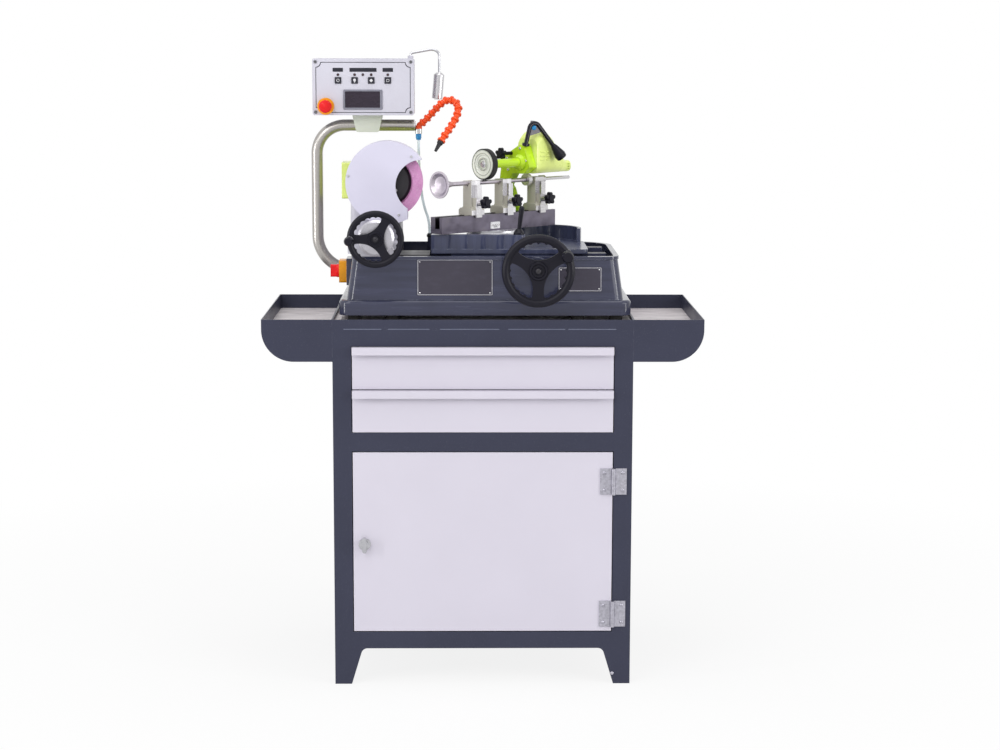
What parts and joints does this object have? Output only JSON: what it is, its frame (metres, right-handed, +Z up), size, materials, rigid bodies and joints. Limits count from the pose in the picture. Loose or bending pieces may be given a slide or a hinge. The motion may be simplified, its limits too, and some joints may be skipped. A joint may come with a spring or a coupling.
{
  "type": "wet valve grinder",
  "caption": "Wet grinder on a sheet cabinet: guarded pink cup wheel on a feed slide, swivelling work head with friction drive, handwheels, side trays, drawers and door.",
  "frame": {"origin": "on the floor, at the centre of the four foot holes", "axes": "+X to the operator's right, +Y from the front to the back, +Z up"},
  "size_m": [0.97, 0.5603, 1.4091],
  "materials": {
    "cabinet_paint": "smooth dark blue-grey coating",
    "panel_paint": "smooth pale grey coating",
    "galvanised": "zinc plated",
    "bright_chrome": "polished",
    "base_paint": "hammered blue-grey paint",
    "black_rubber": "matte",
    "machined_iron": "machined or pale grey paint",
    "guard_paint": "pale lavender grey paint",
    "lime_paint": "gloss lime paint",
    "steel": "turned steel",
    "abrasive": "bonded pink grit",
    "aluminium": "cast, satin",
    "black_plastic": "satin",
    "cream_paint": "satin",
    "valve_steel": "forged and ground",
    "box_plastic": "fine textured pale grey",
    "yellow": "semi gloss",
    "red": "semi gloss",
    "blue_fitting": "semi gloss",
    "clear_hose": "translucent",
    "orange_hose": "semi gloss",
    "lamp_metal": "satin chrome"
  },
  "bodies": {
    "stand": {"cabinet_body": "cabinet_paint", "side_tray_left": "cabinet_paint", "side_tray_right": "cabinet_paint", "frame_hinges": "galvanised", "base_casting": "base_paint", "base_feet": "black_rubber", "grind_ways": "machined_iron", "feed_bracket": "aluminium", "support_tube": "steel", "box_clamp": "aluminium", "control_box": "box_plastic", "control_lid": "box_plastic", "estop_collar": "yellow", "main_switch_box": "yellow", "hose_fitting": "blue_fitting", "coolant_tube": "clear_hose"},
    "upper_drawer": {"upper_drawer": "panel_paint"},
    "lower_drawer": {"lower_drawer": "panel_paint"},
    "door": {"door_panel": "panel_paint", "door_hinges": "galvanised"},
    "latch": {"latch_knob": "bright_chrome"},
    "grind_head": {"grind_saddle": "machined_iron", "grind_motor": "lime_paint", "wheel_guard": "guard_paint"},
    "wheel_spindle": {"spindle": "steel", "grinding_wheel": "abrasive"},
    "feed_wheel": {"left_handwheel": "black_plastic", "feed_screw": "steel"},
    "feed_grip": {"left_grip": "black_plastic"},
    "carriage": {"carriage": "base_paint"},
    "carriage_wheel": {"right_handwheel": "black_plastic", "pinion_shaft": "steel"},
    "carriage_grip": {"right_grip": "black_plastic"},
    "swivel": {"turntable": "steel", "work_rail": "base_paint"},
    "clamp_lever": {"clamp_lever": "black_plastic"},
    "front_stand": {"v_block_front": "cream_paint"},
    "rear_stand": {"v_block_rear": "cream_paint"},
    "stop_stand": {"stop_block": "steel"},
    "front_knob": {"front_knob": "black_plastic"},
    "rear_knob": {"rear_knob": "black_plastic"},
    "stop_knob": {"stop_knob": "black_plastic"},
    "drive_head": {"drive_gearbox": "lime_paint", "drive_motor": "lime_paint", "lift_lever": "black_plastic"},
    "tension_knob": {"tension_knob": "black_plastic"},
    "friction_wheel": {"drive_wheel": "aluminium", "drive_tyre": "black_rubber"},
    "valve": {"valve": "valve_steel"},
    "key_1": {"key_1": "black_plastic"},
    "key_2": {"key_2": "black_plastic"},
    "key_3": {"key_3": "black_plastic"},
    "key_4": {"key_4": "black_plastic"},
    "estop": {"estop_button": "red"},
    "main_switch": {"main_switch_knob": "red"},
    "coolant": {"coolant_arm": "orange_hose", "coolant_nozzle": "black_plastic"},
    "lamp": {"lamp_arm": "lamp_metal", "lamp_head": "lamp_metal"}
  },
  "joints": [
    {"name": "upper_drawer_slide", "type": "slide", "parent": "stand", "child": "upper_drawer", "axis": [0, -1, 0], "range_m": [0, 0.3]},
    {"name": "lower_drawer_slide", "type": "slide", "parent": "stand", "child": "lower_drawer", "axis": [0, -1, 0], "range_m": [0, 0.3]},
    {"name": "door_hinge", "type": "hinge", "parent": "stand", "child": "door", "pos_m": [0.289, -0.2453, 0.325], "axis": [0, 0, 1], "range_deg": [0, 110]},
    {"name": "latch_turn", "type": "hinge", "parent": "door", "child": "latch", "pos_m": [-0.262, -0.24, 0.321], "axis": [0, 1, 0], "range_deg": [0, 90]},
    {"name": "feed_turn", "type": "hinge", "parent": "stand", "child": "feed_wheel", "pos_m": [-0.234, -0.22, 0.999], "axis": [0, 1, 0], "range_deg": [-2166, 582]},
    {"name": "feed_slide", "type": "slide", "parent": "stand", "child": "grind_head", "axis": [0, -1, 0], "range_m": [-0.03, 0.008]},
    {"name": "feed_grip_spin", "type": "hinge", "parent": "feed_wheel", "child": "feed_grip", "pos_m": [-0.28963, -0.26, 0.999], "axis": [0, 1, 0], "continuous": true},
    {"name": "wheel_spin", "type": "hinge", "parent": "grind_head", "child": "wheel_spindle", "pos_m": [-0.214, -0.06, 1.112], "axis": [0, 1, 0], "continuous": true},
    {"name": "carriage_slide", "type": "slide", "parent": "stand", "child": "carriage", "axis": [1, 0, 0], "range_m": [-0.03, 0.045]},
    {"name": "carriage_wheel_turn", "type": "hinge", "parent": "stand", "child": "carriage_wheel", "pos_m": [0.12, -0.236, 0.932], "axis": [0, 1, 0], "range_deg": [-110, 163]},
    {"name": "carriage_grip_spin", "type": "hinge", "parent": "carriage_wheel", "child": "carriage_grip", "pos_m": [0.18166, -0.27, 0.9676], "axis": [0, 1, 0], "continuous": true},
    {"name": "swivel_turn", "type": "hinge", "parent": "carriage", "child": "swivel", "pos_m": [0.0246, -0.0284, 1], "axis": [0, 0, 1], "range_deg": [-15, 15]},
    {"name": "clamp_turn", "type": "hinge", "parent": "carriage", "child": "clamp_lever", "pos_m": [0.08, -0.138, 1.001], "axis": [0, 0, 1], "range_deg": [-45, 45]},
    {"name": "front_stand_slide", "type": "slide", "parent": "swivel", "child": "front_stand", "axis": [0.7071, 0.7071, 0], "range_m": [-0.015, 0.01]},
    {"name": "rear_stand_slide", "type": "slide", "parent": "swivel", "child": "rear_stand", "axis": [0.7071, 0.7071, 0], "range_m": [-0.01, 0.015]},
    {"name": "stop_stand_slide", "type": "slide", "parent": "swivel", "child": "stop_stand", "axis": [0.7071, 0.7071, 0], "range_m": [0, 0.025]},
    {"name": "front_knob_turn", "type": "hinge", "parent": "front_stand", "child": "front_knob", "pos_m": [0.00339, -0.10618, 1.069], "axis": [-0.7071, 0.7071, 0], "range_deg": [-180, 180]},
    {"name": "rear_knob_turn", "type": "hinge", "parent": "rear_stand", "child": "rear_knob", "pos_m": [0.0748, -0.03476, 1.069], "axis": [-0.7071, 0.7071, 0], "range_deg": [-180, 180]},
    {"name": "stop_knob_turn", "type": "hinge", "parent": "stop_stand", "child": "stop_knob", "pos_m": [0.15117, 0.0416, 1.069], "axis": [-0.7071, 0.7071, 0], "range_deg": [-180, 180]},
    {"name": "drive_tilt", "type": "hinge", "parent": "swivel", "child": "drive_head", "pos_m": [0.0543, 0.08332, 1.09], "axis": [-0.7071, -0.7071, 0], "range_deg": [0, 40]},
    {"name": "tension_turn", "type": "hinge", "parent": "drive_head", "child": "tension_knob", "pos_m": [0.04723, 0.03383, 1.1713], "axis": [0.7071, 0.7071, 0], "range_deg": [-180, 180]},
    {"name": "friction_wheel_spin", "type": "hinge", "parent": "drive_head", "child": "friction_wheel", "pos_m": [0.01046, -0.04254, 1.1513], "axis": [0.7071, 0.7071, 0], "continuous": true},
    {"name": "valve_spin", "type": "hinge", "parent": "swivel", "child": "valve", "pos_m": [0.0246, -0.0284, 1.111], "axis": [0.7071, 0.7071, 0], "continuous": true},
    {"name": "key_1_press", "type": "slide", "parent": "stand", "child": "key_1", "axis": [0, 1, 0], "range_m": [0, 0.001], "stiffness_N_per_m": 400},
    {"name": "key_2_press", "type": "slide", "parent": "stand", "child": "key_2", "axis": [0, 1, 0], "range_m": [0, 0.001], "stiffness_N_per_m": 400},
    {"name": "key_3_press", "type": "slide", "parent": "stand", "child": "key_3", "axis": [0, 1, 0], "range_m": [0, 0.001], "stiffness_N_per_m": 400},
    {"name": "key_4_press", "type": "slide", "parent": "stand", "child": "key_4", "axis": [0, 1, 0], "range_m": [0, 0.001], "stiffness_N_per_m": 400},
    {"name": "estop_press", "type": "slide", "parent": "stand", "child": "estop", "axis": [0, 1, 0], "range_m": [0, 0.004], "stiffness_N_per_m": 600},
    {"name": "main_switch_turn", "type": "hinge", "parent": "stand", "child": "main_switch", "pos_m": [-0.323, -0.06, 0.912], "axis": [1, 0, 0], "range_deg": [0, 90]},
    {"name": "coolant_swing", "type": "hinge", "parent": "stand", "child": "coolant", "pos_m": [-0.146, 0.04, 1.227], "axis": [0, 0, 1], "range_deg": [-20, 20]},
    {"name": "lamp_swing", "type": "hinge", "parent": "stand", "child": "lamp", "pos_m": [-0.164, 0.06, 1.386], "axis": [0, 0, 1], "range_deg": [-30, 30]}
  ],
  "couplings": [
    {"joint": "feed_turn", "follows": "feed_slide", "rad_per_m": 1256.6},
    {"joint": "carriage_wheel_turn", "follows": "carriage_slide", "rad_per_m": 62.5},
    {"joint": "valve_spin", "follows": "friction_wheel_spin", "ratio": -7}
  ]
}
